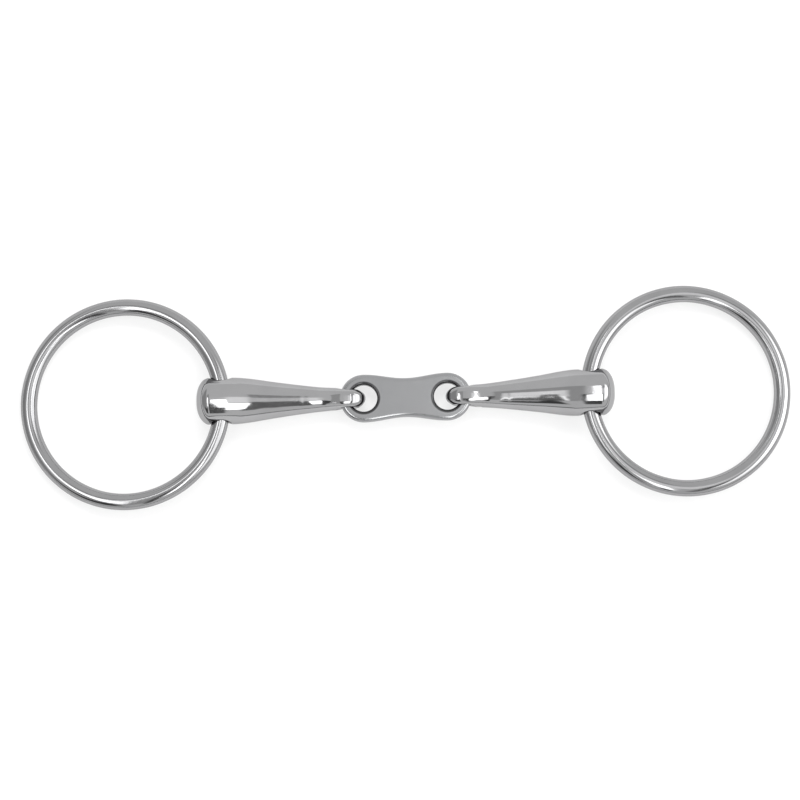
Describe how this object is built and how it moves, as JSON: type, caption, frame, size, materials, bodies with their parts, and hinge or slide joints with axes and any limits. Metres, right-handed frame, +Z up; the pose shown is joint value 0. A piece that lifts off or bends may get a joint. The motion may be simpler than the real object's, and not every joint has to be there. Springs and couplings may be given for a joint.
{
  "type": "loose-ring snaffle bit",
  "caption": "Horse's loose-ring snaffle bit: tapered cannons hooked through a flat dog-bone link, with a plain wire ring running through each butt.",
  "frame": {"origin": "on the surface that the bit lies on, under the middle of the link", "axes": "+X along the mouthpiece towards the right ring, +Z up out of the plane that the bit lies in"},
  "size_m": [0.2804, 0.077, 0.0175],
  "materials": {
    "link_steel": "bright, a little softer than a mirror",
    "cannon_steel": "mirror polished",
    "ring_steel": "mirror polished"
  },
  "bodies": {
    "link": {"french_link": "link_steel"},
    "cannon_left": {"cannon_left": "cannon_steel"},
    "cannon_right": {"cannon_right": "cannon_steel"},
    "ring_left": {"ring_left": "ring_steel"},
    "ring_right": {"ring_right": "ring_steel"}
  },
  "joints": [
    {"name": "cannon_left_fold", "type": "hinge", "parent": "link", "child": "cannon_left", "pos_m": [-0.02198, 0, 0.0056], "axis": [0, 1, 0], "range_deg": [-95, 90]},
    {"name": "ring_left_swing", "type": "hinge", "parent": "cannon_left", "child": "ring_left", "pos_m": [-0.067, 0, 0.00882], "axis": [0, 1, 0], "range_deg": [-158, 175]},
    {"name": "cannon_right_fold", "type": "hinge", "parent": "link", "child": "cannon_right", "pos_m": [0.02198, 0, 0.0056], "axis": [0, -1, 0], "range_deg": [-95, 90]},
    {"name": "ring_right_swing", "type": "hinge", "parent": "cannon_right", "child": "ring_right", "pos_m": [0.067, 0, 0.00882], "axis": [0, -1, 0], "range_deg": [-158, 175]}
  ]
}
